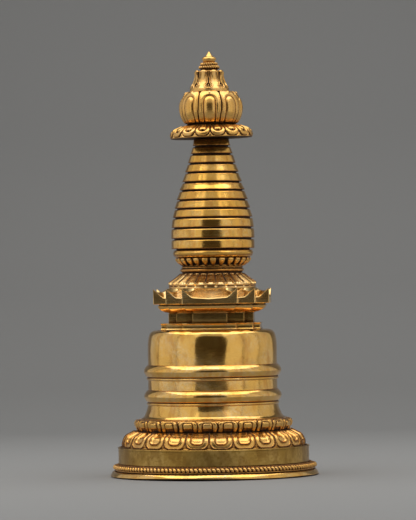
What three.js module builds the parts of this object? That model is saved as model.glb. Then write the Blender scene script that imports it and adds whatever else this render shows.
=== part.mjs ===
// A gilt copper votive stupa of the tall bell-domed kind, 375 mm high, built from hollow castings.
// Millimetres, +Z up. The origin is the centre of the foot, on the surface it stands on; -Y is the front.

import * as THREE from "three";

// Driving dimensions
const HEIGHT = 375;
const FOOT_RADIUS = 92.5;
const WALL = 1.8; // thickness of the hollow pieces
const GAP = 0.3; // clearance where one piece sits inside or around another
const BASE_LOTUS_PETALS = 24;
const SPIRE_LOTUS_PETALS = 26;
const CANOPY_PETALS = 16;
const BUD_PETALS = 8;
const SPIRE_RINGS = 13;

// The sections are fitted by hand: the dome and the spire stand a little to either side of the foot's axis
const DOME_OFFSET = -0.9;
const SPIRE_OFFSET = 1.1;

// Heights where one piece ends and the next begins
const LEVEL = {
  footTop: 5.8,
  beadTop: 11.6,
  plinthTop: 26.3,
  lowerLotusTop: 40.6,
  upperLotusTop: 51,
  lowerHoop: 62.8,
  upperHoop: 84.8,
  domeTop: 129.2,
  slabTop: 135,
  blockTop: 143.8,
  corniceTop: 151.9,
  crownTop: 165.6,
  lotusSkirtTop: 179,
  neckRingTop: 185.2,
  spireBottom: 192.4,
  spireTop: 298.4,
  canopyTop: 310.6,
  budTop: 339.8,
  bellTop: 359.4,
  lowerCollarTop: 362.3,
  upperCollarTop: 365.2,
};

// Half-widths of the square pieces: to the front arm's face, to the second step and to the front arm's side
const SLAB_PLAN = { face: 44.1, step: 38.3, arm: 24 };
const BLOCK_PLAN = { face: 37.4, step: 29.5, arm: 15 };
const CORNICE_PLAN = { face: 47, step: 37.2, arm: 22.6 };
const CROWN_PLAN = { face: 51, step: 39, arm: 24.2 };

const LARGE_TURN = 48;
const SMALL_TURN = 32;
const FINIAL_TURN = 24;

// Gilding over copper: one colour on every piece, a little duller where it is only brushed
const GILT = { color: 0xd49a45, metalness: 1 };
const polishedGilt = new THREE.MeshStandardMaterial({ ...GILT, roughness: 0.22 });
const chasedGilt = new THREE.MeshStandardMaterial({ ...GILT, roughness: 0.34 });
const brushedGilt = new THREE.MeshStandardMaterial({ ...GILT, color: 0xa98545, roughness: 0.42 });
const plainCopper = new THREE.MeshStandardMaterial({ color: 0xb0683e, metalness: 1, roughness: 0.45 });

const stupa = new THREE.Group();

function addPiece(name, geometry, material, offset = 0) {
  const mesh = new THREE.Mesh(geometry.translate(offset, 0, 0), material);
  mesh.name = name;
  stupa.add(mesh);
}

// Turns a closed outline of [radius, height] points, given anticlockwise, about the Z axis.
function turned(outline, segments = LARGE_TURN) {
  const points = [...outline, outline[0]].map(([r, z]) => new THREE.Vector2(r, z));
  return new THREE.LatheGeometry(points, segments).rotateX(Math.PI / 2);
}

// A plain tube with a rectangular wall.
function tube(outer, inner, bottom, top, segments) {
  return turned([[inner, bottom], [outer, bottom], [outer, top], [inner, top]], segments);
}

// Closes an outline drawn up the outside of a piece with its parallel inside, which makes a thin shell.
// Its two ends keep their heights where they stand upright, because another piece meets them there.
function shelled(outline, wall = WALL) {
  const inside = outline.map(([r, z], i) => {
    const [beforeR, beforeZ] = outline[Math.max(i - 1, 0)];
    const [afterR, afterZ] = outline[Math.min(i + 1, outline.length - 1)];
    const length = Math.hypot(afterR - beforeR, afterZ - beforeZ);
    const [along, up] = [(afterR - beforeR) / length, (afterZ - beforeZ) / length];
    const uprightEnd = (i === 0 || i === outline.length - 1) && up > 0.3;
    return uprightEnd ? [r - wall, z] : [r - wall * up, z + wall * along];
  });
  return [...outline, ...inside.reverse()];
}

// A turned ring whose outline draws in between its petals. Each outline point is [radius, height, draw-in].
function petalRing(outline, petals, phaseDegrees, facetsPerPetal = 2) {
  const geometry = turned(outline.map(([r, z]) => [r, z]), petals * facetsPerPetal);
  const position = geometry.getAttribute("position");
  const perStep = outline.length + 1;
  const phase = THREE.MathUtils.degToRad(phaseDegrees);
  for (let i = 0; i < position.count; i++) {
    const drawIn = outline[i % perStep % outline.length][2] ?? 0;
    const angle = 2 * Math.PI * Math.floor(i / perStep) / (petals * facetsPerPetal);
    const between = 1 - Math.abs(Math.cos(petals * angle / 2));
    const [x, y] = [position.getX(i), position.getY(i)];
    const radius = Math.hypot(x, y) || 1;
    const scale = (radius - drawIn * between) / radius;
    position.setXY(i, x * scale, y * scale);
  }
  return geometry.rotateZ(phase);
}

// The twenty-cornered plan of the square pieces: a square whose corners step back twice.
// Each entry is [x, y, horn], where horn is 1 at an outward corner, 0 elsewhere.
// Points hornLength along each edge from an outward corner are added where the edge is long enough.
function steppedPlan({ face, step, arm }, hornLength = 0) {
  const quadrant = [[-arm, -face, 1]];
  if (hornLength) quadrant.push([-arm + hornLength, -face, 0], [arm - hornLength, -face, 0]);
  quadrant.push([arm, -face, 1]);
  if (hornLength) quadrant.push([arm, -face + hornLength, 0]);
  quadrant.push([arm, -step, 0]);
  if (hornLength) quadrant.push([step - hornLength, -step, 0]);
  quadrant.push([step, -step, 1]);
  if (hornLength) quadrant.push([step, -step + hornLength, 0]);
  quadrant.push([step, -arm, 0]);
  if (hornLength) quadrant.push([face - hornLength, -arm, 0]);
  const turns = [0, 1, 2, 3].map((n) => n * Math.PI / 2);
  return turns.flatMap((turn) => quadrant.map(([x, y, horn]) => [
    Math.round(Math.cos(turn)) * x - Math.round(Math.sin(turn)) * y,
    Math.round(Math.sin(turn)) * x + Math.round(Math.cos(turn)) * y,
    horn,
  ]));
}

// Joins stacked loops of equal length into one closed wall. The last loop joins back to the first.
function wallOfLoops(loops) {
  const count = loops[0].length;
  const index = [];
  loops.forEach((_, level) => {
    const above = (level + 1) % loops.length;
    for (let i = 0; i < count; i++) {
      const next = (i + 1) % count;
      const [a, b] = [level * count + i, level * count + next];
      const [c, d] = [above * count + next, above * count + i];
      index.push(a, b, c, a, c, d);
    }
  });
  const geometry = new THREE.BufferGeometry();
  geometry.setAttribute("position", new THREE.Float32BufferAttribute(loops.flat(2), 3));
  geometry.setIndex(index);
  return geometry;
}

// A stepped-plan wall from stacked levels of [plan, height], outside going up and then inside coming down.
function steppedWall(levels) {
  return wallOfLoops(levels.map(([plan, z]) => steppedPlan(plan).map(([x, y]) => [x, y, z])));
}

const grown = ({ face, step, arm }, by) => ({ face: face + by, step: step + by, arm: arm + by });

// Foot: a flat flange, a bead moulding, the plain plinth and the sealing plate under it
const PLINTH_RADIUS = 84.8;
const PLATE_BOTTOM = 0.6;
const PLATE_THICKNESS = 0.8;
const FOOT_BORE = 85.4;
addPiece("base_plate", turned([
  [0, PLATE_BOTTOM], [FOOT_BORE - GAP, PLATE_BOTTOM],
  [FOOT_BORE - GAP, PLATE_BOTTOM + PLATE_THICKNESS], [0, PLATE_BOTTOM + PLATE_THICKNESS],
]), plainCopper);
addPiece("foot_flange", turned([
  [FOOT_BORE, 0], [FOOT_RADIUS - 0.8, 0], [FOOT_RADIUS, 1.2], [FOOT_RADIUS - 0.6, LEVEL.footTop - 0.6],
  [FOOT_RADIUS - 3.5, LEVEL.footTop], [FOOT_BORE, LEVEL.footTop],
]), polishedGilt);
addPiece("bead_moulding", turned([
  [FOOT_BORE + 0.6, LEVEL.footTop], [88.4, LEVEL.footTop], [90.2, LEVEL.footTop + 1.4],
  [89.9, LEVEL.footTop + 3.2], [87.8, LEVEL.beadTop - 0.9], [86, LEVEL.beadTop],
  [PLINTH_RADIUS - WALL, LEVEL.beadTop], [PLINTH_RADIUS - WALL, LEVEL.beadTop - 1.8],
]), chasedGilt);
const plinth = tube(PLINTH_RADIUS, PLINTH_RADIUS - WALL, LEVEL.beadTop, LEVEL.plinthTop);
addPiece("plinth_band", plinth, brushedGilt, DOME_OFFSET);

// Double lotus under the dome
addPiece("lower_lotus", petalRing([
  [78.5, LEVEL.plinthTop], [81.4, LEVEL.plinthTop, 1.6], [82, 30, 1.8], [80.8, 34.2, 1.8],
  [77.6, 37.4, 1.4], [71, LEVEL.lowerLotusTop, 0.6], [63, LEVEL.lowerLotusTop],
  [64, 39], [70.6, 38.1], [75.4, 35.1], [78, 30.8],
], BASE_LOTUS_PETALS, 5.8), chasedGilt, DOME_OFFSET);
addPiece("upper_lotus", petalRing([
  [64.6, LEVEL.lowerLotusTop], [67.6, LEVEL.lowerLotusTop, 0.8], [69.3, 44, 1.2], [70.4, 47.6, 1.4],
  [68.4, 50.2, 0.9], [65.4, LEVEL.upperLotusTop], [61.2, LEVEL.upperLotusTop],
  [61.8, 49.2], [65.8, 47.8], [66, 44.4],
], BASE_LOTUS_PETALS, -1.2), chasedGilt, DOME_OFFSET);

// Bell-shaped dome and the two hoops round it
const CROWN_OPENING = 30; // hole under the harmika through which the dome is filled
addPiece("dome", turned(shelled([
  [64.2, LEVEL.upperLotusTop], [61.4, 53], [59.3, 57], [57.8, 61.5], [57.2, 68], [57.1, 98], [57.4, 110],
  [57.2, 119.5], [56.2, 124.2], [54.2, 127.2], [50.4, LEVEL.domeTop], [CROWN_OPENING, LEVEL.domeTop],
])), polishedGilt, DOME_OFFSET);

const HOOP_SEAT = 57.4 + GAP;
function hoop(name, bottom) {
  addPiece(name, turned([
    [HOOP_SEAT + 0.4, bottom], [58.6, bottom + 0.3], [58.9, bottom + 3.2], [59.4, bottom + 4.2],
    [61, bottom + 7.4], [60.6, bottom + 9.6], [58.6, bottom + 12.2], [HOOP_SEAT, bottom + 13.8],
  ]), polishedGilt, DOME_OFFSET);
}
hoop("lower_hoop", LEVEL.lowerHoop);
hoop("upper_hoop", LEVEL.upperHoop);

// Harmika: stepped slab, hollow block, rounded cornice and horned crown
const HARMIKA_BORE = { face: 34.6, step: 26.8, arm: 11 };
addPiece("harmika_slab", steppedWall([
  [SLAB_PLAN, LEVEL.domeTop], [SLAB_PLAN, LEVEL.slabTop - 0.8], [grown(SLAB_PLAN, -0.8), LEVEL.slabTop],
  [HARMIKA_BORE, LEVEL.slabTop], [HARMIKA_BORE, LEVEL.domeTop],
]), polishedGilt, DOME_OFFSET);
addPiece("harmika_block", steppedWall([
  [BLOCK_PLAN, LEVEL.slabTop], [BLOCK_PLAN, LEVEL.blockTop],
  [grown(BLOCK_PLAN, -WALL), LEVEL.blockTop], [grown(BLOCK_PLAN, -WALL), LEVEL.slabTop],
]), polishedGilt, DOME_OFFSET);
addPiece("harmika_cornice", steppedWall([
  [grown(BLOCK_PLAN, 0.4), LEVEL.blockTop], [{ face: 41.8, step: 33.2, arm: 18.8 }, 145.8],
  [{ face: 45.2, step: 35.8, arm: 21.4 }, 148.2], [CORNICE_PLAN, 150.6], [CORNICE_PLAN, LEVEL.corniceTop],
  [HARMIKA_BORE, LEVEL.corniceTop], [HARMIKA_BORE, 148.9], [grown(BLOCK_PLAN, -WALL), LEVEL.blockTop],
]), polishedGilt);

const HORN_LENGTH = 8.8;
const LIP_HEIGHT = 157;
const SCOOP_DEPTH = 9.8;
function hornedCrown() {
  const outer = steppedPlan(CROWN_PLAN, HORN_LENGTH);
  const atHeight = (plan, z) => plan.map(([x, y]) => [x, y, z]);
  const rim = outer.map(([x, y, horn]) => [x, y, horn ? LEVEL.crownTop : LIP_HEIGHT]);
  const insidePlan = (by) => steppedPlan(grown(CROWN_PLAN, -by), HORN_LENGTH - 5);
  const bore = steppedPlan({ face: 24, step: 18, arm: 9 }, 3);
  return wallOfLoops([
    atHeight(steppedPlan(grown(CROWN_PLAN, -0.4), HORN_LENGTH), LEVEL.corniceTop),
    atHeight(outer, LEVEL.corniceTop + 0.4),
    rim,
    atHeight(insidePlan(SCOOP_DEPTH), LEVEL.crownTop - 0.6),
    atHeight(bore, LEVEL.crownTop - 0.6),
    atHeight(bore, LEVEL.crownTop - 0.6 - WALL),
    atHeight(insidePlan(SCOOP_DEPTH + 1.6), LEVEL.crownTop - 0.6 - WALL),
    atHeight(insidePlan(5), LIP_HEIGHT - WALL),
    atHeight(insidePlan(5), LEVEL.corniceTop),
  ]);
}
addPiece("harmika_crown", hornedCrown(), polishedGilt);

// Double lotus that carries the spire
const NECK_BORE = 24.4;
addPiece("spire_lotus_skirt", petalRing([
  [34.5, LEVEL.crownTop - 0.6], [38.4, LEVEL.crownTop - 0.6], [38.9, LEVEL.crownTop + 0.6, 0.2],
  [39.1, 169, 0.3], [38.4, 170.4, 0.6], [34.9, 172.8, 0.9],
  [31.4, 175.2, 0.9], [28.6, 177.6, 0.8], [27, LEVEL.lotusSkirtTop, 0.5],
  [NECK_BORE, LEVEL.lotusSkirtTop], [25.6, 176], [29.4, 172.4], [34, 168.8],
], SPIRE_LOTUS_PETALS, 0.8), chasedGilt);
addPiece("spire_neck_ring", turned([
  [NECK_BORE, LEVEL.lotusSkirtTop], [26.6, LEVEL.lotusSkirtTop], [28.5, 181.4], [28.4, 182.6],
  [26.6, LEVEL.neckRingTop], [NECK_BORE, LEVEL.neckRingTop],
], SMALL_TURN), chasedGilt);
addPiece("spire_lotus_cup", petalRing([
  [NECK_BORE, LEVEL.neckRingTop], [26.4, LEVEL.neckRingTop, 0.6], [30.2, 187.8, 1.4], [33.7, 190.6, 1.8],
  [33, LEVEL.spireBottom, 1.6], [27, LEVEL.spireBottom],
], SPIRE_LOTUS_PETALS, 3.3), chasedGilt, SPIRE_OFFSET);

// Spire: a hollow core and thirteen rings, swelling and then tapering upwards
const RING_TOPS = [
  199.9, 209.1, 218.7, 227.7, 235.7, 243.4, 251.8, 259.1, 267.7, 275.7, 283.9, 291, LEVEL.spireTop,
];
const RING_RADII = [35.6, 36.8, 36.9, 36.5, 35.4, 33.6, 31.5, 29, 26.4, 23.8, 21.1, 18.6, 16.6];
const RING_TAPERS = [0.5, 0.1, 0.2, 0.8, 1.6, 1.9, 2.2, 2.3, 2.3, 2.1, 1.7, 1.4, 1];
const RING_GROOVE = 1.3; // height of the dark groove between two rings
const GROOVE_DEPTH = 1.8;
const coreRadius = (ring) => RING_RADII[ring] - RING_TAPERS[ring] - GROOVE_DEPTH;
const CORE_FOOT = 30;
const coreOutside = RING_TOPS.map((top, ring) => {
  const above = Math.min(ring + 1, SPIRE_RINGS - 1);
  return [Math.min(coreRadius(ring), coreRadius(above)), top];
});
const core = turned(shelled([[CORE_FOOT, LEVEL.spireBottom], ...coreOutside]), SMALL_TURN);
addPiece("spire_core", core, chasedGilt, SPIRE_OFFSET);
for (let ring = 0; ring < SPIRE_RINGS; ring++) {
  const lowest = ring === 0; // the lowest ring rounds in towards the lotus
  const bottom = lowest ? LEVEL.spireBottom + GAP : RING_TOPS[ring - 1] + RING_GROOVE / 2;
  const top = ring === SPIRE_RINGS - 1 ? LEVEL.spireTop - 0.4 : RING_TOPS[ring] - RING_GROOVE / 2;
  const widest = RING_RADII[ring];
  const seat = Math.max(coreOutside[Math.max(ring - 1, 0)][0], coreOutside[ring][0]) + GAP;
  addPiece(`spire_ring_${String(ring + 1).padStart(2, "0")}`, turned([
    ...(lowest ? [[CORE_FOOT + 2 * GAP, bottom], [widest - 2.8, bottom]] : [[seat, bottom]]),
    [widest, lowest ? bottom + 3 : bottom], [widest - RING_TAPERS[ring], top],
    [seat, top],
  ], SMALL_TURN), polishedGilt, SPIRE_OFFSET);
}

// Canopy: a shallow disk with petals on its sloping edge
addPiece("canopy", petalRing([
  [9, LEVEL.spireTop], [18, LEVEL.spireTop], [19.6, 304.6], [28.6, 304.6], [32.6, LEVEL.spireTop],
  [36.6, LEVEL.spireTop + 0.6, 0.4], [37.2, 301, 0.8], [36.2, 304, 1.2], [32.6, 307.4, 1],
  [26, 309.4, 0.3], [21.6, LEVEL.canopyTop], [9, LEVEL.canopyTop],
], CANOPY_PETALS, 12.5, 4), chasedGilt, SPIRE_OFFSET);

// Lotus bud with eight broad petals standing off a hollow bulb
const BUD_PETAL = [
  [20.5, LEVEL.canopyTop, 0.4], [24, 313.6, 1], [26.6, 318, 1.6], [28, 324, 1.8], [27.9, 328.6, 1.8],
  [26, 333.8, 1.8], [23, 337.6, 1.4], [20.4, 339.4, 0.8],
];
addPiece("lotus_bud", petalRing([
  [9, LEVEL.canopyTop], ...BUD_PETAL, [18.6, 337.6, 0.4], [18, LEVEL.budTop - 1], [9, LEVEL.budTop - 1],
  [9, 336.6], [18, 335.8], [22.2, 332.8], [24.2, 328], [24, 321.6], [21.8, 316], [18.6, 312.6], [9, 312.6],
], BUD_PETALS, 0, 6), chasedGilt, SPIRE_OFFSET);

// Bellflower above the bud, its eight petal tips turned out
addPiece("bellflower", petalRing([
  [17.8, LEVEL.budTop - 1, 0.2], [17.3, 342.6, 0.6], [15.2, 345.8, 0.8], [13.4, 349.6, 1],
  [12.7, 353.6, 1.6], [13.2, 357.4, 2.6], [10.6, 357.2, 1.4], [8.4, 356.4],
  [7.8, LEVEL.bellTop], [4, LEVEL.bellTop],
  [4, 355.4], [8.6, 353], [10.4, 348], [12.6, 344], [13, LEVEL.budTop - 1],
], BUD_PETALS, 22.5, 6), chasedGilt);

// Finial: two collars and a jewel
function collar(name, radius, bottom, top) {
  const middle = (bottom + top) / 2;
  addPiece(name, turned([
    [3, bottom], [radius - 1.6, bottom], [radius - 0.3, bottom + 0.6], [radius, middle],
    [radius - 0.3, top - 0.6], [radius - 1.6, top], [3, top],
  ], FINIAL_TURN), chasedGilt);
}
collar("lower_collar", 9.3, LEVEL.bellTop, LEVEL.lowerCollarTop);
collar("upper_collar", 7.8, LEVEL.lowerCollarTop, LEVEL.upperCollarTop);
addPiece("jewel", turned([
  [0, LEVEL.upperCollarTop], [5.2, LEVEL.upperCollarTop], [6.1, 368.2], [6.3, 369], [3.4, 371.6],
  [1.4, 373.8], [0, HEIGHT],
], FINIAL_TURN), chasedGilt);

export default stupa;
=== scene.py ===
# %% [markdown]
# # A gilt stupa
# This lesson builds the looks of a small votive stupa: a bell-shaped dome on a double lotus, a square
# harmika with a horned crown, a spire of thirteen rings, a round canopy, a lotus bud and a jewel. The real
# ones are copper, cast or hammered in sections, chased, gilded with mercury and then burnished, so nearly
# everything here is a turned shape that is then worked by hand. The plain solids come from the packed
# model; each one is replaced by a finer piece that stands in exactly the same place.

import math

import bmesh
import bpy
import numpy as np
from mathutils import Matrix, Vector


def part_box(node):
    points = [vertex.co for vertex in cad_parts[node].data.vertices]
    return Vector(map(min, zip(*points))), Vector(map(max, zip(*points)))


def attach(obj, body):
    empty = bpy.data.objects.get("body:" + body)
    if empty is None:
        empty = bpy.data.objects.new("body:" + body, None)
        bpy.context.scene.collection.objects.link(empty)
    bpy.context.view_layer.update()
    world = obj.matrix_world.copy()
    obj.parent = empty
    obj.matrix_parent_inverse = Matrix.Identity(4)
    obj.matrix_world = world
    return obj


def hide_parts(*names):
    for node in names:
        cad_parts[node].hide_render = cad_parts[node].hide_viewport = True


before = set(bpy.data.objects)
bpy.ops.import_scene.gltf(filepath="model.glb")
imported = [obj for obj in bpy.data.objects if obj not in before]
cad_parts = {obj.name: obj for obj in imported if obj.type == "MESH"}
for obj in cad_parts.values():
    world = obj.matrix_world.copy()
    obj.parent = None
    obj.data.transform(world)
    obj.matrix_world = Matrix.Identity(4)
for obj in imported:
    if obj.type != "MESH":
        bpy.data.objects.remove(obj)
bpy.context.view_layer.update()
MM = 0.001  # every size below is in millimetres until it goes into a mesh

# %% [markdown]
# The frame says where each solid stands. Nearly all of them are rings, so two numbers describe the place of
# one: how far it reaches from the axis, and the heights of its bottom and top.

# %% Where each ring stands
def reach(node):
    """How far a node reaches from its own axis, in millimetres."""
    low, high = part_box(node)
    return (high[0] - low[0]) / 2 / MM


def axis_of(node):
    """How far a node's axis stands to the right of the foot's axis, in millimetres."""
    low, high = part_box(node)
    return (low[0] + high[0]) / 2 / MM


def bottom(node):
    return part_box(node)[0][2] / MM


def top(node):
    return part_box(node)[1][2] / MM


def radius_at(node, height):
    """The largest radius that a node has near a height, in millimetres."""
    axis = axis_of(node)
    corners = [v.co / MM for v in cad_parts[node].data.vertices]
    return max(math.hypot(co.x - axis, co.y) for co in corners if abs(co.z - height) < 0.3)


print("foot", round(reach("foot_flange"), 1), "dome top", round(top("dome"), 1), "tip", round(top("jewel"), 1))

# %% [markdown]
# Gilding is never one even colour. Where hands and cloths reach, it is bright and a little paler; in the
# hollows it keeps a brown residue of old polish, incense smoke and dust; and on broad faces it is slightly
# mottled and full of hair scratches. One node group makes those three effects from the object's own
# coordinates, and also paints shade in the same brown where neighbouring parts shelter a surface. Every
# finish places that same group with its own values.

# %% Node helpers
def mix_colours(tree, amount, first, second):
    mix = tree.nodes.new("ShaderNodeMix")
    mix.data_type = "RGBA"
    for socket, value in (("Factor", amount), ("A", first), ("B", second)):
        target = next(s for s in mix.inputs if s.name == socket and s.enabled)
        if isinstance(value, bpy.types.NodeSocket):
            tree.links.new(value, target)
        else:
            target.default_value = value
    return next(s for s in mix.outputs if s.enabled)


def maths(tree, operation, first, second=0.0, clamp=False):
    node = tree.nodes.new("ShaderNodeMath")
    node.operation = operation
    node.use_clamp = clamp
    for socket, value in zip(node.inputs, (first, second)):
        if isinstance(value, bpy.types.NodeSocket):
            tree.links.new(value, socket)
        else:
            socket.default_value = value
    return node.outputs[0]


def remap(tree, value, low, high, out_low=0.0, out_high=1.0):
    node = tree.nodes.new("ShaderNodeMapRange")
    tree.links.new(value, node.inputs["Value"])
    for name, number in zip(("From Min", "From Max", "To Min", "To Max"), (low, high, out_low, out_high)):
        node.inputs[name].default_value = number
    return node.outputs["Result"]


def noise(tree, position, scale, detail=3.0, stretch=(1, 1, 1), offset=0.0):
    mapping = tree.nodes.new("ShaderNodeMapping")
    mapping.inputs["Scale"].default_value = stretch
    mapping.inputs["Location"].default_value = (offset, offset * 0.7, offset * 1.3)
    tree.links.new(position, mapping.inputs["Vector"])
    texture = tree.nodes.new("ShaderNodeTexNoise")
    texture.inputs["Scale"].default_value = scale
    texture.inputs["Detail"].default_value = detail
    tree.links.new(mapping.outputs["Vector"], texture.inputs["Vector"])
    return texture.outputs["Fac"]


# %% [markdown]
# The group takes the surface's place, its depth and how sheltered it is, and gives back colour, roughness,
# how metallic it is and a height for fine scratches. Where a surface is sheltered, it paints shade into the
# colour.

# %% The worn gilding group, which also paints shade
def make_gilding_group():
    group = bpy.data.node_groups.new("worn_gilding_and_painted_shade", "ShaderNodeTree")
    face = group.interface
    for name, kind, value in (
        ("Position", "NodeSocketVector", None),
        ("Hollow", "NodeSocketFloat", 0.0),
        ("Painted shade", "NodeSocketFloat", 0.0),
        ("Gold", "NodeSocketColor", (0.9, 0.55, 0.2, 1)),
        ("Pale gold", "NodeSocketColor", (0.95, 0.68, 0.36, 1)),
        ("Amber", "NodeSocketColor", (0.5, 0.2, 0.04, 1)),
        ("Residue and shade", "NodeSocketColor", (0.03, 0.014, 0.006, 1)),
        ("Base roughness", "NodeSocketFloat", 0.2),
        ("Mottle", "NodeSocketFloat", 0.5),
        ("Residue and shade amount", "NodeSocketFloat", 1.0),
    ):
        socket = face.new_socket(name, in_out="INPUT", socket_type=kind)
        if value is not None:
            socket.default_value = value
    for name, kind in (
        ("Colour", "NodeSocketColor"),
        ("Roughness", "NodeSocketFloat"),
        ("Metallic", "NodeSocketFloat"),
        ("Height", "NodeSocketFloat"),
    ):
        face.new_socket(name, in_out="OUTPUT", socket_type=kind)
    inside = group.nodes.new("NodeGroupInput").outputs
    outside = group.nodes.new("NodeGroupOutput").inputs
    position = inside["Position"]

    cloud = noise(group, position, 45, 4)
    patches = noise(group, position, 130, 6, stretch=(1, 1, 0.5), offset=1.7)
    speckle = noise(group, position, 420, 3, offset=0.4)
    fine = noise(group, position, 1500, 2, offset=0.9)
    brushed_round = noise(group, position, 60, 3, stretch=(1, 1, 30), offset=0.2)
    brushed_up = noise(group, position, 60, 3, stretch=(26, 26, 1), offset=0.6)

    # Thin places in the gold: soft clouds broken up by speckle.
    thin = maths(group, "MULTIPLY", remap(group, cloud, 0.4, 0.65), remap(group, speckle, 0.3, 0.7))
    thin = maths(group, "MULTIPLY", thin, inside["Mottle"], clamp=True)
    gold = mix_colours(group, thin, inside["Gold"], inside["Pale gold"])

    # Residue sits where a surface is chased down, and painted shade where it is sheltered by its neighbours,
    # both with a ragged edge. Both are thin and amber at first and nearly black where they are thick. Faint
    # stains of residue lie on the open faces too.
    ragged = remap(group, speckle, 0.25, 0.75, -0.2, 0.2)
    sunk_and_shaded = maths(group, "ADD", inside["Hollow"], inside["Painted shade"])
    sunk_and_shaded = maths(group, "ADD", maths(group, "MULTIPLY", sunk_and_shaded, inside["Residue and shade amount"]), ragged)
    stain = maths(group, "MULTIPLY", remap(group, patches, 0.5, 0.72), inside["Mottle"], clamp=True)
    warm = maths(group, "MAXIMUM", remap(group, sunk_and_shaded, 0.15, 0.6), maths(group, "MULTIPLY", stain, 0.45))
    colour = mix_colours(group, maths(group, "MULTIPLY", warm, 0.85, clamp=True), gold, inside["Amber"])
    sunk_and_shaded = maths(group, "MULTIPLY", remap(group, sunk_and_shaded, 0.5, 1.0), 1.0, clamp=True)
    colour = mix_colours(group, sunk_and_shaded, colour, inside["Residue and shade"])

    rough = maths(group, "ADD", inside["Base roughness"], remap(group, cloud, 0.3, 0.7, -0.04, 0.06))
    rough = maths(group, "ADD", rough, remap(group, brushed_round, 0.35, 0.65, -0.02, 0.04))
    rough = maths(group, "ADD", rough, maths(group, "MULTIPLY", sunk_and_shaded, 0.45), clamp=True)
    metal = maths(group, "SUBTRACT", 1.0, maths(group, "MULTIPLY", sunk_and_shaded, 0.75), clamp=True)

    height = maths(group, "MULTIPLY", remap(group, speckle, 0.2, 0.8), 0.5)
    height = maths(group, "ADD", height, maths(group, "MULTIPLY", fine, 0.25))
    height = maths(group, "ADD", height, maths(group, "MULTIPLY", brushed_round, 0.3))
    height = maths(group, "ADD", height, maths(group, "MULTIPLY", brushed_up, 0.3))

    for name, socket in (("Colour", colour), ("Roughness", rough), ("Metallic", metal), ("Height", height)):
        group.links.new(socket, outside[name])
    return group


gilding_group = make_gilding_group()
print("node group", gilding_group.name, "with", len(gilding_group.nodes), "nodes")

# %% [markdown]
# Each finish is a material with the group, a Principled shader and a Bump node of its own. Ambient occlusion
# tells the group where a surface is sheltered, such as under the canopy or between two rings, and there the
# group paints shade into the colour. The attribute "hollow", which the chasing steps write, tells it where the
# relief has been driven in; on a few pieces it also carries painted shade where a neighbour meets or hangs
# over them.

# %% Make a finish
# The same dark brown is both the residue in chased hollows and the painted shade in sheltered places.
RESIDUE_AND_SHADE = (0.03, 0.013, 0.005)
PAINTED_SHADE_REACH = 6 * MM


def make_finish(
    name, gold, pale, amber, roughness, mottle=0.5, residue_and_shade_amount=1.0, bump=0.02, shade_range=(0.25, 0.75),
):
    material = bpy.data.materials.new(name)
    material.use_nodes = True
    tree = material.node_tree
    shader = next(n for n in tree.nodes if n.type == "BSDF_PRINCIPLED")
    wear_and_shade = tree.nodes.new("ShaderNodeGroup")
    wear_and_shade.node_tree = gilding_group
    coordinates = tree.nodes.new("ShaderNodeTexCoord")
    tree.links.new(coordinates.outputs["Object"], wear_and_shade.inputs["Position"])
    chased = tree.nodes.new("ShaderNodeAttribute")
    chased.attribute_name = "hollow"
    tree.links.new(chased.outputs["Fac"], wear_and_shade.inputs["Hollow"])
    # Painted shade: ambient occlusion darkens the colour where neighbouring parts shelter the surface.
    occlusion = tree.nodes.new("ShaderNodeAmbientOcclusion")
    occlusion.samples = 6
    occlusion.inputs["Distance"].default_value = PAINTED_SHADE_REACH
    tree.links.new(remap(tree, occlusion.outputs["AO"], shade_range[1], shade_range[0]), wear_and_shade.inputs["Painted shade"])
    for socket, value in (
        ("Gold", gold), ("Pale gold", pale), ("Amber", amber), ("Residue and shade", RESIDUE_AND_SHADE),
        ("Base roughness", roughness), ("Mottle", mottle), ("Residue and shade amount", residue_and_shade_amount),
    ):
        wear_and_shade.inputs[socket].default_value = (*value, 1) if isinstance(value, tuple) else value
    tree.links.new(wear_and_shade.outputs["Colour"], shader.inputs["Base Color"])
    tree.links.new(wear_and_shade.outputs["Roughness"], shader.inputs["Roughness"])
    tree.links.new(wear_and_shade.outputs["Metallic"], shader.inputs["Metallic"])
    relief = tree.nodes.new("ShaderNodeBump")
    relief.inputs["Strength"].default_value = 1.0
    relief.inputs["Distance"].default_value = bump * MM
    tree.links.new(wear_and_shade.outputs["Height"], relief.inputs["Height"])
    tree.links.new(relief.outputs["Normal"], shader.inputs["Normal"])
    return material


AMBER = (0.58, 0.22, 0.035)

# Burnished is the dome, hoops, slab and flange, warm the rings of the spire, and chased the lotus rows, beads
# and everything above the rings. The crown and the ribbed petals take a paler copy with weaker shade, which
# paints them as more brightly lit. The plinth is brushed; the block takes a darker copy, which paints it in
# shade; the cornice is a duller gold with deeper painted shade; and the base plate is bare copper.
burnished = make_finish(
    "burnished_gilding", (0.93, 0.54, 0.13), (0.95, 0.64, 0.27), AMBER, 0.14, mottle=1.5, bump=0.04,
)
warm = make_finish(
    "warm_gilding", (0.93, 0.51, 0.1), (0.95, 0.6, 0.2), (0.55, 0.19, 0.03), 0.15, mottle=1.3, bump=0.04,
)
# Painted light: a paler copy of the gilding with weaker painted shade.
lit_copy = make_finish(
    "lit_copy_gilding", (1.0, 0.66, 0.25), (1.0, 0.78, 0.45), AMBER, 0.22, mottle=0.8, bump=0.04,
    shade_range=(0.15, 0.6),
)
chased = make_finish(
    "chased_gilding", (0.95, 0.54, 0.14), (0.96, 0.67, 0.33), AMBER, 0.25, mottle=0.6, bump=0.05,
)
brushed = make_finish(
    "brushed_gilding", (0.47, 0.28, 0.065), (0.62, 0.4, 0.12), (0.24, 0.11, 0.022), 0.31, mottle=2.2, bump=0.2,
)
# Painted shade: a darker copy of the gilding.
shade_darkened = make_finish(
    "shade_darkened_gilding", (0.5, 0.3, 0.08), (0.6, 0.4, 0.17), (0.25, 0.1, 0.02), 0.2, mottle=1.0, bump=0.04,
)
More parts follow.
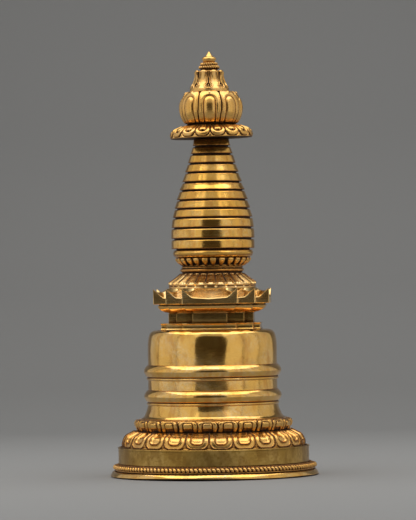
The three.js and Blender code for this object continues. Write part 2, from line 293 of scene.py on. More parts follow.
# A duller gold whose painted shade is half as deep again.
shade_deepened = make_finish(
    "shade_deepened_gilding", (0.84, 0.5, 0.16), (0.88, 0.6, 0.28), (0.4, 0.16, 0.03), 0.22, residue_and_shade_amount=1.5,
    bump=0.05,
)
copper = make_finish(
    "bare_copper", (0.72, 0.36, 0.2), (0.8, 0.46, 0.28), (0.3, 0.1, 0.04), 0.4, mottle=1.0,
)
print("finishes:", [m.name for m in bpy.data.materials])

# %% [markdown]
# A turned piece starts as one outline from its foot to its top. A spline through a few points gives smooth
# mouldings, and a corner in it stays a crisp edge. The spline is then cut into even steps, so that later
# work has enough vertices wherever it is needed. In the cells below, low and high are the heights of a
# piece's bottom and top.

# %% Draw a smooth outline
def corner(radius, height):
    """The same point twice, which makes a crisp edge in a moulding."""
    return (radius, height), (radius, height)


def moulding(points, step=0.8):
    """A smooth line through [radius, height] points in millimetres, cut into even steps."""
    line = []
    for i in range(len(points) - 1):
        before = Vector(points[max(i - 1, 0)])
        a, b = Vector(points[i]), Vector(points[i + 1])
        after = Vector(points[min(i + 2, len(points) - 1)])
        if (b - a).length < 1e-6:
            continue
        # A doubled point ends the curve on that side, which leaves a corner. Between two corners the line
        # is straight and needs no steps.
        straight = (a - before).length < 1e-6, (after - b).length < 1e-6
        count = 1 if all(straight) else max(1, round((b - a).length / step))
        start = (b - a) if straight[0] else (b - before) * 0.5
        end = (b - a) if straight[1] else (after - a) * 0.5
        start *= min(1.0, (b - a).length / max(start.length, 1e-6))
        end *= min(1.0, (b - a).length / max(end.length, 1e-6))
        for k in range(count):
            t = k / count
            h00, h10 = 2 * t**3 - 3 * t**2 + 1, t**3 - 2 * t**2 + t
            h01, h11 = -2 * t**3 + 3 * t**2, t**3 - t**2
            line.append(a * h00 + start * h10 + b * h01 + end * h11)
    line.append(Vector(points[-1]))
    return line


# %% [markdown]
# Spin sweeps the outline about the axis, as a lathe does, and joins the last step to the first. Each vertex
# remembers how far along the outline it lies in the attribute "along", because the chasing that follows
# measures its pattern by the angle round the piece and by that distance.

# %% Spin an outline into a closed ring
SECTORS = 16


def spin_ring(name, outline, steps, finish, closed=True):
    """Spins an outline of [radius, height] points round the axis. It starts at the front, facing -Y."""
    turning = bmesh.new()
    along = turning.verts.layers.float.new("along")
    walked, verts = 0.0, []
    for i, point in enumerate(outline):
        walked += (point - outline[i - 1]).length if i else 0.0
        vert = turning.verts.new((0, -point[0] * MM, point[1] * MM))
        vert[along] = walked
        verts.append(vert)
    pairs = list(zip(verts, verts[1:])) + ([(verts[-1], verts[0])] if closed else [])
    edges = [turning.edges.new(pair) for pair in pairs]
    about_axis = {"cent": (0, 0, 0), "axis": (0, 0, 1)}
    sector = 2 * math.pi / SECTORS
    bmesh.ops.spin(turning, geom=verts + edges, angle=sector, steps=steps // SECTORS, **about_axis)
    whole = turning.verts[:] + turning.edges[:] + turning.faces[:]
    bmesh.ops.spin(
        turning, geom=whole, angle=sector * (SECTORS - 1), steps=SECTORS - 1, use_duplicate=True, **about_axis,
    )
    bmesh.ops.remove_doubles(turning, verts=turning.verts, dist=1e-6)
    bmesh.ops.recalc_face_normals(turning, faces=turning.faces)
    return finish_piece(name, turning, finish)


def finish_piece(name, building, finish, crisp_degrees=None):
    """Turns a bmesh into an object with its finish, smooth except across edges sharper than crisp_degrees."""
    mesh = bpy.data.meshes.new(name)
    building.to_mesh(mesh)
    building.free()
    mesh.shade_smooth()
    if crisp_degrees:
        mesh.set_sharp_from_angle(angle=math.radians(crisp_degrees))
    mesh.materials.append(finish)
    piece = bpy.data.objects.new(name, mesh)
    bpy.context.scene.collection.objects.link(piece)
    return piece


def place(piece, *nodes, slot):
    """Makes a finished piece stand for its CAD nodes, about the same axis."""
    piece.data.transform(Matrix.Translation((axis_of(nodes[0]) * MM, 0, 0)))
    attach(piece, "root")
    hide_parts(*nodes)
    triangles = sum(len(face.vertices) - 2 for face in piece.data.polygons)
    print(f"{piece.name}: {triangles} triangles, {[round(s / MM, 1) for s in piece.dimensions]} mm")
    return piece


# %% [markdown]
# Petals on gilt copper are chased: the sheet or casting is driven up from behind and then punched down
# round the petals from in front. Here a ring is spun with many small faces, and each vertex moves in or out
# along the outline's own normal by an amount that a small function gives for its angle and its distance
# along the outline. The same function says how deep the spot is, and that depth is kept for the residue; on
# a few pieces it also holds painted shade where a neighbour meets or hangs over them.

# %% Chase a relief into a ring
def chase(piece, outline, relief):
    """Moves a ring's vertices by relief(angle in degrees, along, radius), which returns (raise, hollow)."""
    mesh = piece.data
    count = len(mesh.vertices)
    co = np.empty(count * 3)
    mesh.vertices.foreach_get("co", co)
    co = co.reshape(-1, 3) / MM
    along = np.empty(count, np.float32)
    mesh.attributes["along"].data.foreach_get("value", along)

    line = np.array([tuple(p) for p in outline])
    walked = np.concatenate(([0], np.cumsum(np.linalg.norm(np.diff(line, axis=0), axis=1))))
    direction = np.gradient(line, walked, axis=0)
    direction /= np.linalg.norm(direction, axis=1, keepdims=True)
    outwards = np.interp(along, walked, direction[:, 1])
    upwards = -np.interp(along, walked, direction[:, 0])

    radius = np.hypot(co[:, 0], co[:, 1])
    angle = np.degrees(np.arctan2(co[:, 0], -co[:, 1]))
    height, hollow = relief(angle, along.astype(float), radius)
    round_x, round_y = co[:, 0] / np.maximum(radius, 1e-6), co[:, 1] / np.maximum(radius, 1e-6)
    co[:, 0] += round_x * outwards * height
    co[:, 1] += round_y * outwards * height
    co[:, 2] += upwards * height
    mesh.vertices.foreach_set("co", (co * MM).ravel())
    depth = mesh.attributes.new("hollow", "FLOAT", "POINT")
    depth.data.foreach_set("value", np.clip(hollow, 0, 1).astype(np.float32))
    mesh.update()
    return piece


# %% [markdown]
# The patterns are built from a few soft steps. A petal is a box with round corners and one open end, and
# what matters at any point is how far inside its edge that point lies.

# %% Small shapes for reliefs
def soft_step(value, low, high):
    t = np.clip((value - low) / (high - low), 0, 1)
    return t * t * (3 - 2 * t)


def bar(distance, start, width):
    """A rounded bar that begins at start: 0 at both its edges and 1 across most of its middle."""
    t = np.clip((distance - start) / width, 0, 1)
    return 1 - np.abs(2 * t - 1) ** 2.6


def line(distance, width):
    """1 on a line and nothing a little more than width away from it."""
    return np.exp(-((distance / width) ** 2))


def cushion(distance, width):
    """A dome that rises steeply from its edge and is level once width inside it."""
    t = np.clip(distance / width, 0, 1)
    return np.sqrt(1 - (1 - t) ** 2)


def inside_petal(across, along, half_width, tip, corner):
    """How far inside a petal's edge a point lies. The petal is open at along = 0 and its tip is at tip."""
    x = np.abs(across) - (half_width - corner)
    y = along - (tip - corner)
    return corner - (np.hypot(np.maximum(x, 0), np.maximum(y, 0)) + np.minimum(np.maximum(x, y), 0))


def bordered_petal(edge, boss, groove=0.9, border=1.0, boss_height=1.5):
    """A petal's relief and residue: a raised border, a punched line and a boss, from the two distances."""
    band = border * np.minimum(cushion(edge, 1.6), cushion(-boss - groove, 1.2))
    filler = cushion(-edge - 0.7, 1.1) * 0.9
    height = np.where(edge > 0, np.maximum(band, cushion(boss, 1.8) * boss_height), filler - 0.6) - 0.4
    hollow = line(boss + groove / 2, groove * 0.66) * (edge > 0) + line(edge + 0.25, 0.65)
    return height, hollow


def petal_place(angle, count, first):
    """The petal that an angle falls in, and the angle from that petal's middle."""
    pitch = 360 / count
    number = np.round((angle - first) / pitch)
    return number.astype(int) % count, angle - first - number * pitch


def by_hand(number, seed, amount):
    """A small fixed difference for each petal, as hand work leaves."""
    values = np.random.default_rng(seed).uniform(-amount, amount, 64)
    return values[number % 64]


WAVES = 12
LONGEST_WAVE = 26
WALL_RADIUS = 57  # the wave lengths are true on the dome's wall and shrink with the radius elsewhere


def hammered(depth, seed=0, upright=math.pi / 2, shortest=9):
    """A relief of shallow hammer marks: many crossing waves, depth mm high in all. Shortest is the shortest
    wave's length, and a small upright keeps the crests of the waves nearly vertical."""
    chance = np.random.default_rng(seed)
    lengths = chance.uniform(shortest, LONGEST_WAVE, WAVES)
    slants = chance.uniform(-upright, upright, WAVES)
    phases = chance.uniform(0, 2 * math.pi, WAVES)

    def relief(angle, along, radius):
        total = np.zeros_like(angle)
        for length, slant, phase in zip(lengths, slants, phases):
            # The turns are a whole number, so that the pattern closes round the ring.
            turns = round(math.cos(slant) * 2 * math.pi * WALL_RADIUS / length)
            rise = math.sin(slant) * 2 * math.pi / length
            total += np.sin(turns * np.radians(angle) + rise * along + phase)
        return (total / WAVES - 0.5) * depth, np.zeros_like(angle)

    return relief


# %% [markdown]
# ## Foot
# The foot is a plain flange with a slightly uneven edge. Hammered up by hand, it is not quite a true circle,
# so it gets a gentle wave of a few tenths of a millimetre that always stays inside the true size.

# %% Foot flange
foot_reach, foot_top = reach("foot_flange"), top("foot_flange")
foot_outline = moulding([
    *corner(85.4, 0), (foot_reach - 1.2, 0), (foot_reach - 0.3, 0.3), (foot_reach, 1.1),
    (foot_reach - 0.7, 2.8), (foot_reach - 1.6, 4.3), (foot_reach - 2.6, foot_top - 0.5),
    *corner(88.8, foot_top), *corner(85.4, foot_top), *corner(85.4, 0.4),
], 0.7)


def foot_waves(angle, along, radius):
    turn = np.radians(angle)
    wave = np.sin(3 * turn + 1) + 0.7 * np.sin(7 * turn) + 0.5 * np.sin(17 * turn + 2)
    outside = soft_step(along, 4.5, 6.5) * (1 - soft_step(along, 14, 16.5))
    return outside * (wave / 2.2 - 1) * 0.4, line(along - 14.6, 1.2) * 0.7 + line(along - 5.4, 1.4) * 0.5


foot = chase(spin_ring("foot_flange_turned", foot_outline, 256, burnished), foot_outline, foot_waves)

# The rim does not touch the shelf all the way round: it lifts a little at the front.
for vert in foot.data.vertices:
    angle = math.degrees(math.atan2(vert.co.x, -vert.co.y))
    lift = 1.5 * math.exp(-((angle + 12) / 34) ** 2) + 0.5 * math.exp(-((angle - 60) / 16) ** 2)
    outer = min(max((math.hypot(vert.co.x, vert.co.y) / MM - 86) / 6, 0), 1)
    vert.co.z += lift * outer * (1 - vert.co.z / MM / foot_top) * MM
place(foot, "foot_flange", slot="gilt_polished")

# %% [markdown]
# The ring of beads on the flange is cut with a beading punch: short round bars that lie side by side and
# run from the plinth outwards and down, with a narrow dark gap between each two.

# %% Bead moulding
BEADS = 144
BEAD_ROW = 89.5  # the radius of the row
low, high = bottom("bead_moulding"), top("bead_moulding")
plinth_reach = reach("plinth_band")
bead_outline = moulding([
    *corner(86.2, low), (88.0, low), (88.4, low + 0.6), (89.1, low + 1.5), (89.6, low + 2.6),
    (89.3, low + 3.7), (88.5, low + 4.5), (87.4, low + 4.9), (86.4, high - 0.5), (85.6, high - 0.1),
    (84.8, high), *corner(83, high), *corner(83, high - 1.6),
], 0.42)


def bead_row(angle, along, radius):
    number, off = petal_place(angle, BEADS, 0)
    across = np.radians(off) * radius + 0.45 * (along - 5.3)
    half = math.pi * BEAD_ROW / BEADS - 0.3
    inside = half - np.hypot(across, np.maximum(np.abs(along - 5.6) - 0.9, 0))
    bead = cushion(inside + 0.1, 1.5)
    in_row = soft_step(along, 2.4, 3) * (1 - soft_step(along, 7.9, 8.4))
    stipple = np.sin(angle * 6.1 + 3 * np.sin(along * 1.3)) * np.sin(along * 3.4 + 2 * np.sin(angle * 1.9))
    above_row = along > 7.9
    height = in_row * (bead * (1.3 + by_hand(number, 3, 0.15)) - 0.8)
    height = height + above_row * (along < 13) * stipple * 0.25
    return height, in_row * (1 - bead) * 1.6 + above_row * (0.8 - 0.4 * stipple)


beads = chase(spin_ring("bead_moulding_chased", bead_outline, BEADS * 8, chased), bead_outline, bead_row)
place(beads, "bead_moulding", slot="gilt_chased")

# %% [markdown]
# The plinth is a plain upright band. Its upper edge carries a fine lip where the lotus was soldered on, and
# its face is thinly gilded and brushed, which is why it looks olive beside the burnished dome.

# %% Plinth band
low, high = bottom("plinth_band"), top("plinth_band")
plinth_outline = moulding([
    *corner(plinth_reach - 1.8, low), *corner(plinth_reach - 0.4, low), (plinth_reach - 0.5, low + 5),
    (plinth_reach - 0.4, high - 1.5), (plinth_reach + 0.05, high - 0.9), (plinth_reach - 0.2, high - 0.25),
    (plinth_reach - 0.9, high), *corner(plinth_reach - 1.8, high), (plinth_reach - 1.8, low + 0.4),
], 0.9)
plinth = chase(spin_ring("plinth_band_turned", plinth_outline, 256, brushed), plinth_outline, hammered(0.14, 5))
place(plinth, "plinth_band", slot="gilt_brushed")

# %% [markdown]
# ## Double lotus
# The lower row hangs down. Each petal has a thick turned edge, a sunk line and a smooth boss, and the tip of
# a second petal shows between each two. Where three edges meet, the punched line splits like a Y.

# %% Lower lotus petals
PETALS = 24
LOWER_ROW = 80  # the radius at which the petals of this row are measured, in millimetres
low, high = bottom("lower_lotus"), top("lower_lotus")
lower_outline = moulding([
    (64, high), (70.0, high - 0.8), (73.4, high - 2.5), (75.9, high - 3.7), (77.8, high - 5.2),
    (79.2, high - 7.4), (80.1, high - 10.0), (80.4, low + 2.1), (80.2, low + 0.7), *corner(80.9, low),
    *corner(78.6, low), *corner(64, high - 3), *corner(64, high - 0.3),
], 0.5)


def lower_petals(angle, along, radius):
    number, off = petal_place(angle, PETALS, 7.6)
    across = np.radians(off) * LOWER_ROW + by_hand(number, 11, 0.25)
    half = math.pi * LOWER_ROW / PETALS
    down = along - 5.6  # the petals start where they come out from under the upper row
    edge = inside_petal(across, down, half - 0.45, 18.6, 6.5)
    boss = inside_petal(
        across, down, 5.1 + by_hand(number, 12, 0.2), 14.2 + by_hand(number, 13, 0.3), 3.2,
    )
    height, hollow = bordered_petal(edge, boss)
    fade = soft_step(down, -3, 1) * (1 - soft_step(along, 25.2, 26.2))
    return height * fade, hollow * fade + 0.5 * line(along - 26.2, 0.8)


lower = chase(spin_ring("lower_lotus_chased", lower_outline, PETALS * 38, chased), lower_outline, lower_petals)
place(lower, "lower_lotus", slot="gilt_chased")

# %% [markdown]
# The upper row stands up and holds the dome like a cup. Its petals are short and square-shouldered, with a
# boss near the top and two ribs running down beside it.

# %% Upper lotus petals
UPPER_ROW = 69
low, high = bottom("upper_lotus"), top("upper_lotus")
upper_outline = moulding([
    *corner(64.6, low), *corner(66.4, low), (67.6, low + 2), (68.6, low + 4.2), (69.1, low + 6.3),
    (68.9, low + 8.1), (67.6, high - 1.1), (65.6, high - 0.3), (62, high), *corner(61.2, high),
    *corner(64.6, low + 3), (64.6, low + 0.3),
], 0.45)


def upper_petals(angle, along, radius):
    number, off = petal_place(angle, PETALS, -1.2)
    across = np.radians(off) * UPPER_ROW + by_hand(number, 21, 0.3)
    up = along - 1.8
    half = math.pi * UPPER_ROW / PETALS
    edge = inside_petal(across + 0.3 * np.sin(up * 0.75 + 1), up, half - 0.45, 10.9, 3.6)
    sides = inside_petal(across, up, 4.1 + by_hand(number, 22, 0.2), 8.7, 1.8)
    boss = np.minimum(sides, up - 3.4)
    height, hollow = bordered_petal(edge, sides, groove=0.7, boss_height=0)
    height = height + cushion(boss, 1.2) * 1.5
    hollow = hollow * 1.15 + 0.55 * (sides > 0) * (boss < 0) + line(boss, 0.3) * 0.5
    fade = soft_step(up, -0.2, 0.8) * (1 - soft_step(up, 11.6, 12.8))
    # Painted shade along the foot of the row and along its top, where it meets the lower row and the dome.
    join_shade = line(up - 12.4, 1.1) * 0.6 + line(up, 0.6) * 0.9
    return height * fade, hollow * fade + join_shade


upper = chase(spin_ring("upper_lotus_chased", upper_outline, PETALS * 34, chased), upper_outline, upper_petals)
place(upper, "upper_lotus", slot="gilt_chased")

# %% [markdown]
# ## Dome
# The dome is one hollow piece, raised and then burnished until it mirrors the room. Its wall is nearly
# upright, flares out at the foot, and turns over a tight shoulder to a flat top. A very shallow wave of
# hammering stays in it, and that is what bends the reflections of the lamps.

# %% Dome wall
dome_bottom, dome_top = bottom("dome"), top("dome")
dome_outline = moulding([
    *corner(60.4, dome_bottom), *corner(63.6, dome_bottom), (63.0, dome_bottom + 0.7), (61.2, 53.2),
    (60.0, 55.8), (58.9, 58.6), (58.1, 61.4), (57.4, 65), (57.2, 70), (57.2, 84), (57.2, 98), (57.25, 110),
    (57.1, 117), (56.8, 120.6), (56.3, 123.4), (55.3, 126), (53.8, 127.7), (51.6, 128.8), (48, dome_top),
    *corner(40, dome_top), *corner(30, dome_top), *corner(30, dome_top - 2), *corner(54.6, dome_top - 6),
    *corner(54.8, 62), *corner(60.4, dome_bottom + 0.5),
], 1.1)


def dome_surface(angle, along, radius):
    broad, _ = hammered(0.2, 8)(angle, along, radius)
    seams, _ = hammered(0.07, 9, upright=0.2, shortest=5)(angle, along, radius)
    wall_top = 3.2 + dome_top - dome_bottom
    # Painted shade: the second value darkens the dome where it goes down into the upper lotus and, faintly, on
    # the shoulder.
    return broad + seams, line(along - wall_top - 4, 2.2) * 0.15 + line(along - 4, 2) * 0.4


dome = chase(spin_ring("dome_burnished", dome_outline, 320, burnished), dome_outline, dome_surface)
place(dome, "dome", slot="gilt_polished")

# %% [markdown]
# The two hoops are the same moulding twice: a thin fillet below, a fine gap, and a full round above it that
# comes back to the wall in one long curve. In section they swell most a little above the middle.

# %% Hoops
def make_hoop(node, seed):
    seat, base, crest = 56.7, bottom(node), top(node)
    outline = moulding([
        *corner(seat, base), (57.9, base + 0.2), (58.5, base + 0.9), (58.5, base + 1.9), (57.8, base + 2.7),
        *corner(57.7, base + 3.0), (58.9, base + 3.5), (59.7, base + 4.9), (60.7, base + 6.9),
        (60.9, base + 8.1), (60.5, base + 9.9), (59.3, base + 11.8), (58.0, base + 13.2), (57.3, crest),
        *corner(seat, crest), *corner(seat, base + 0.3),
    ], 0.6)

    def dark_gap(angle, along, radius):
        height, hollow = hammered(0.14, seed)(angle, along, radius)
        return height, line(along - 4.6, 0.7) * 0.9 + line(along - 0.6, 0.8) * 0.8 + line(along - 17, 1) * 0.5

    ring = chase(spin_ring(node + "_turned", outline, 256, burnished), outline, dark_gap)
    return place(ring, node, slot="gilt_polished")


for node, seed in (("lower_hoop", 21), ("upper_hoop", 22)):
    make_hoop(node, seed)

# %% [markdown]
# ## Harmika
# The square part above the dome is drawn from one plan, a square whose corners step back twice. Each
# part of it is a stack of such plans at different sizes. The edge loops are made from the corner points,
# bridged into walls, closed with a face at each end, and the upright corners are bevelled so that they
# catch the light.

# %% The stepped plan
def stepped_plan(face, step, arm):
    """The twenty corners of the plan, anticlockwise from above, in millimetres."""
    quadrant = [(-arm, -face), (arm, -face), (arm, -step), (step, -step), (step, -arm)]
    corners = []
    for turn in range(4):
        spin = Matrix.Rotation(turn * math.pi / 2, 2)
        corners += [spin @ Vector(corner) for corner in quadrant]
    return corners


def plan_of(node, step_share, arm_share):
    """A stepped plan as wide as a node, with its step and arm as shares of the half-width."""
    face = reach(node)
    return face, face * step_share, face * arm_share


def grown(plan, by):
    return tuple(size + by for size in plan)


def stacked_plans(levels):
    """A closed bmesh from (plan, height) levels, with the edges of its upright corners."""
    building = bmesh.new()
    loops = []
    for plan, height in levels:
        verts = [building.verts.new((x * MM, y * MM, height * MM)) for x, y in stepped_plan(*plan)]
        loops.append([building.edges.new(pair) for pair in zip(verts, verts[1:] + verts[:1])])
    for lower_loop, upper_loop in zip(loops, loops[1:]):
        bmesh.ops.bridge_loops(building, edges=lower_loop + upper_loop)
    bmesh.ops.contextual_create(building, geom=loops[0])
    bmesh.ops.contextual_create(building, geom=loops[-1])
    bmesh.ops.recalc_face_normals(building, faces=building.faces)
    return building


def soften(building, width, segments=3, above=25):
    """Bevels every edge that bends more than a few degrees."""
    sharp = [e for e in building.edges if e.is_manifold and math.degrees(e.calc_face_angle(0)) > above]
    bmesh.ops.bevel(
        building, geom=sharp, offset=width * MM, offset_type="OFFSET", segments=segments, profile=0.5,
        affect="EDGES", material=-1, clamp_overlap=True,
    )
    return building


# %% [markdown]
# The slab has a shallow groove round its edge, and the block above it is plain.

# %% Slab and block
slab_plan = plan_of("harmika_slab", 0.868, 0.544)
slab_bottom, slab_top = bottom("harmika_slab"), top("harmika_slab")
slab = stacked_plans([
    (slab_plan, slab_bottom), (slab_plan, slab_bottom + 0.7), (grown(slab_plan, -0.7), slab_bottom + 1.3),
    (grown(slab_plan, -0.7), slab_top - 1.1), (slab_plan, slab_top - 0.7), (slab_plan, slab_top),
])
slab_piece = finish_piece("harmika_slab_cast", soften(slab, 0.38), burnished, 20)
place(slab_piece, "harmika_slab", slot="gilt_polished")

block_plan = plan_of("harmika_block", 0.79, 0.4)
block_bottom, block_top = bottom("harmika_block"), top("harmika_block")
block = stacked_plans([(block_plan, block_bottom), (block_plan, block_top)])
# The block takes the darker copy, which paints it in shade under the crown.
block_piece = finish_piece("harmika_block_cast", soften(block, 0.45), shade_darkened, 20)
place(block_piece, "harmika_block", slot="gilt_polished")

# %% [markdown]
# The cornice carries the eye from the narrow block out to the wide crown. It is a hollow curve, so its
# levels follow a quarter of an ellipse.

# %% Cornice
cornice_plan = plan_of("harmika_cornice", 0.791, 0.481)
cornice_bottom, cornice_top = bottom("harmika_cornice"), top("harmika_cornice")
curve_bottom, curve_top = cornice_bottom + 0.5, cornice_top - 1.9
CURVE_STEPS = 7
inner_plan = grown(block_plan, 0.2)
levels = [(inner_plan, cornice_bottom), (inner_plan, curve_bottom)]
for i in range(1, CURVE_STEPS + 1):
    turn = i / CURVE_STEPS * math.pi / 2
    share = math.sin(turn) ** 1.15
    plan = tuple(b + (c - b) * share for b, c in zip(inner_plan, cornice_plan))
    levels.append((plan, curve_bottom + (curve_top - curve_bottom) * (1 - math.cos(turn)) ** 0.85))
levels += [
    (cornice_plan, curve_top + 0.5), (grown(cornice_plan, -0.9), curve_top + 0.8),
    (grown(cornice_plan, -0.9), cornice_top),
]
# The cornice takes deeper painted shade under the crown.
cornice_piece = finish_piece("harmika_cornice_cast", soften(stacked_plans(levels), 0.3, 2, above=60), shade_deepened, 30)
place(cornice_piece, "harmika_cornice", slot="gilt_polished")

# %% [markdown]
# The crown is a thick plate whose edges are scooped between the corners, so that every outward corner is
# left standing as a horn. The plate is the stepped plan with height, softened at its edges and then sliced
# both ways into small squares, so that its top can be pressed down by a smooth rule: full depth at the
# middle of each edge, nothing at a horn, and fading inwards up to the ring under the spire.

# %% Crown plate
crown_face = reach("harmika_crown")
crown_plan = (crown_face, crown_face * 0.765, crown_face * 0.4745)
crown_bottom, crown_top = bottom("harmika_crown"), top("harmika_crown")
crown = stacked_plans([
    (grown(crown_plan, -0.4), crown_bottom), (crown_plan, crown_bottom + 0.4), (crown_plan, crown_top),
])
soften(crown, 0.42, 2, above=50)
slices = np.arange(-crown_face + 0.8, crown_face, 1.2)
for direction in (Vector((1, 0, 0)), Vector((0, 1, 0))):
    for offset in slices:
        bmesh.ops.bisect_plane(
            crown, geom=crown.verts[:] + crown.edges[:] + crown.faces[:], dist=1e-7,
            plane_co=direction * offset * MM, plane_no=direction,
        )
print("crown sliced into", len(crown.faces), "faces")

# %% [markdown]
# Each stretch of edge has a horn at both ends. The depth of the pressing depends on the distance from the
# nearer horn and on the distance in from the edge.

# %% Press the scoops between the horns
HORN = 9.2  # how far a horn's slope runs along the edge
SCOOP = 7.6  # how deep the slope of a horn goes
SAG = 1.7 / 24  # how much more the edge sags for each millimetre beyond that
SCOOP_REACH = 12.5  # how far in from the edge the pressing fades out


def scoop_depth(x, y):
    """How far the crown's top is pressed down at a point, in millimetres."""
    face, step, arm = crown_plan
    depth = 0.0
    for turn in range(4):
        u, v = Matrix.Rotation(-turn * math.pi / 2, 2) @ Vector((x, y))
        edges = (  # distance in from the edge, distance from the nearer horn along it
            (face + v, arm - abs(u)),
            (step + v, step - u if arm - 0.1 <= u else -1),
            (step + v, step + u if u <= -arm + 0.1 else -1),
            (arm - u, face + v if v < -step + 0.4 else -1),
            (arm + u, face + v if v < -step + 0.4 else -1),
        )
        for inwards, from_horn in edges:
            if from_horn < 0 or inwards < -0.5:
                continue
            slope = SCOOP * (1 - max(1 - from_horn / HORN, 0) ** 1.15) + SAG * from_horn
            fade = max(1 - max(inwards, 0) / SCOOP_REACH, 0) ** 1.15
            depth = max(depth, slope * fade)
    return depth


for vert in crown.verts:
    if vert.co.z > (crown_bottom + 3) * MM:
        vert.co.z -= scoop_depth(vert.co.x / MM, vert.co.y / MM) * MM
bmesh.ops.recalc_face_normals(crown, faces=crown.faces)
# The crown takes the paler copy, which paints it as more brightly lit.
place(finish_piece("harmika_crown_cast", crown, lit_copy, 32), "harmika_crown", slot="gilt_polished")

# %% [markdown]
# ## Spire lotus
# A row of long ribbed petals hangs from the neck and turns out over the crown, and a row of short ones
# stands up under the first ring. Both are spun and chased like the big lotus, only smaller.

# %% Hanging petals
SPIRE_PETALS = 26
low, high = bottom("spire_lotus_skirt"), top("spire_lotus_skirt")
skirt_outline = moulding([
    *corner(25, high), (26.6, high), (27.2, high - 0.8), (28.8, high - 2.0), (31.2, high - 4.0),
    (34.4, high - 6.4), (36.9, high - 8.1), (38.3, high - 9.1), (38.5, high - 9.8), (37.9, high - 10.7),
    (37.6, high - 11.6), (38.2, high - 12.4), (38.4, low + 0.8), *corner(38.0, low), *corner(26, low),
    *corner(25, high - 0.4),
], 0.42)


def hanging_petals(angle, along, radius):
    number, off = petal_place(angle, SPIRE_PETALS, 0.8)
    # The share is 0 in a petal's middle and 1 at its edge.
    share = np.abs(off) / (180 / SPIRE_PETALS) + by_hand(number, 33, 0.05)
    down = along - 1.6
    ridge = line(share, 0.18) * 0.4 + line(share - 0.6, 0.18) * 0.9
    gap = soft_step(share, 0.78, 0.9)
    body = soft_step(down, 0, 1.5) * (1 - soft_step(down, 14.0, 15.2))
    lip = line(down - 15.0, 0.9) * (0.75 - 1.3 * soft_step(share, 0.45, 1.0))
    under = line(down - 17.4, 1.1) * (1 - soft_step(share, 0.6, 0.95))
    height = (ridge - gap * 1.2) * body + lip - under * 0.8
    return height, gap * body * 1.3 + under * 1.1 + line(down - 0.4, 1.2) * 0.6 - (1 - gap) * body * 0.25


# The hanging petals take the paler copy, which paints them as more brightly lit.
skirt_turned = spin_ring("spire_lotus_skirt_chased", skirt_outline, SPIRE_PETALS * 24, lit_copy)
skirt = chase(skirt_turned, skirt_outline, hanging_petals)
place(skirt, "spire_lotus_skirt", slot="gilt_chased")

# %% [markdown]
# The neck is a round bar between two fillets.

# %% Neck ring
low, high = bottom("spire_neck_ring"), top("spire_neck_ring")
neck_outline = moulding([
    *corner(25, low), (26.4, low), (26.6, low + 0.8), (28.0, low + 1.6), (28.5, low + 2.6),
    (28.0, low + 3.6), (26.7, low + 4.2), (27.4, high - 1.4), (27.2, high - 0.6), (26.3, high),
    *corner(25, high), *corner(25, low + 0.4),
], 0.4)


def neck_surface(angle, along, radius):
    height, _ = hammered(0.2, 31)(angle, along, radius)
    return height, 0.42 + line(along - 6.8, 0.8) * 0.6 + line(along - 1.8, 0.9) * 0.5


neck = chase(spin_ring("spire_neck_turned", neck_outline, 128, chased), neck_outline, neck_surface)
place(neck, "spire_neck_ring", slot="gilt_chased")

# %% [markdown]
# The standing petals are deep and separate, like teeth: full and bright at their tops, narrow at the foot,
# with black gaps between them.

# %% Standing petals
low, high = bottom("spire_lotus_cup"), top("spire_lotus_cup")
cup_outline = moulding([
    *corner(25, low), (26.6, low), (27.8, low + 0.9), (29.6, low + 2.2), (31.4, low + 3.6),
    (32.7, low + 5.0), (33.1, low + 6.2), (32.4, high - 0.3), *corner(31, high), *corner(26, high),
    *corner(25, low + 0.4),
], 0.4)


def standing_petals(angle, along, radius):
    number, off = petal_place(angle, SPIRE_PETALS, 3.3)
    share = np.abs(off / (180 / SPIRE_PETALS) + by_hand(number, 41, 0.08))
    up = along - 1.6
    inside = 0.3 + 0.34 * soft_step(up, 0.5, 6.5) - share
    body = soft_step(up, 0, 1.2) * (1 - soft_step(up, 9.6, 11))
    between = -2.3 * soft_step(-inside, 0, 0.12)
    height = np.where(inside > 0, cushion(inside * 4.0, 1.2) * 0.9 - 0.3, between)
    amber = 0.45 * (1 - soft_step(up, 2.5, 5.5))
    return height * body, (soft_step(-inside, -0.05, 0.08) + amber) * body + line(up - 10.6, 1) * 0.5


cup_turned = spin_ring("spire_lotus_cup_chased", cup_outline, SPIRE_PETALS * 24, chased)
cup = chase(cup_turned, cup_outline, standing_petals)
place(cup, "spire_lotus_cup", slot="gilt_chased")

# %% [markdown]
# ## Rings of the spire
# The thirteen rings are turned, burnished and threaded on a hollow core. Each is a short cone with rounded
# lips, so each throws its own bright line, and the core shows only as the dark groove between two of them.
# The core is painted dark all over, as painted shade in those grooves.

# %% Spire core and rings
low, high = bottom("spire_core"), top("spire_core")
rings = [f"spire_ring_{number:02d}" for number in range(1, 14)]
groove_points = []
for lower_ring, upper_ring in zip(rings, rings[1:]):
    middle = (top(lower_ring) + bottom(upper_ring)) / 2
    groove_points.append((radius_at(lower_ring, top(lower_ring)) - 2.6, middle))
core_outline = moulding(
    [*corner(24, low), *corner(30, low)]
    + groove_points
    + [*corner(12.5, high), *corner(10, high)],
    2.5,
)


# Painted shade: every vertex of the core takes the full depth, so it is dark all over.
def painted_shade_all_over(angle, along, radius):
    return np.zeros_like(angle), np.ones_like(angle)


core = chase(spin_ring("spire_core_turned", core_outline, 96, chased), core_outline, painted_shade_all_over)
place(core, "spire_core", slot="gilt_chased")


LIP = 0.35  # how far a ring's lower edge is rounded
SHOULDER = 1.7  # the upper edge turns over more softly


def worn_ring(number, foot_edge, height):
    """Hammer marks with nearly upright crests, and residue along the two lips of a ring."""
    marks = hammered(0.07, 50 + number, upright=0.5, shortest=7)

    def relief(angle, along, radius):
        lips = line(along - foot_edge, 0.9) + line(along - foot_edge - height, 0.6)
        return marks(angle, along, radius)[0], lips * 0.65

    return relief


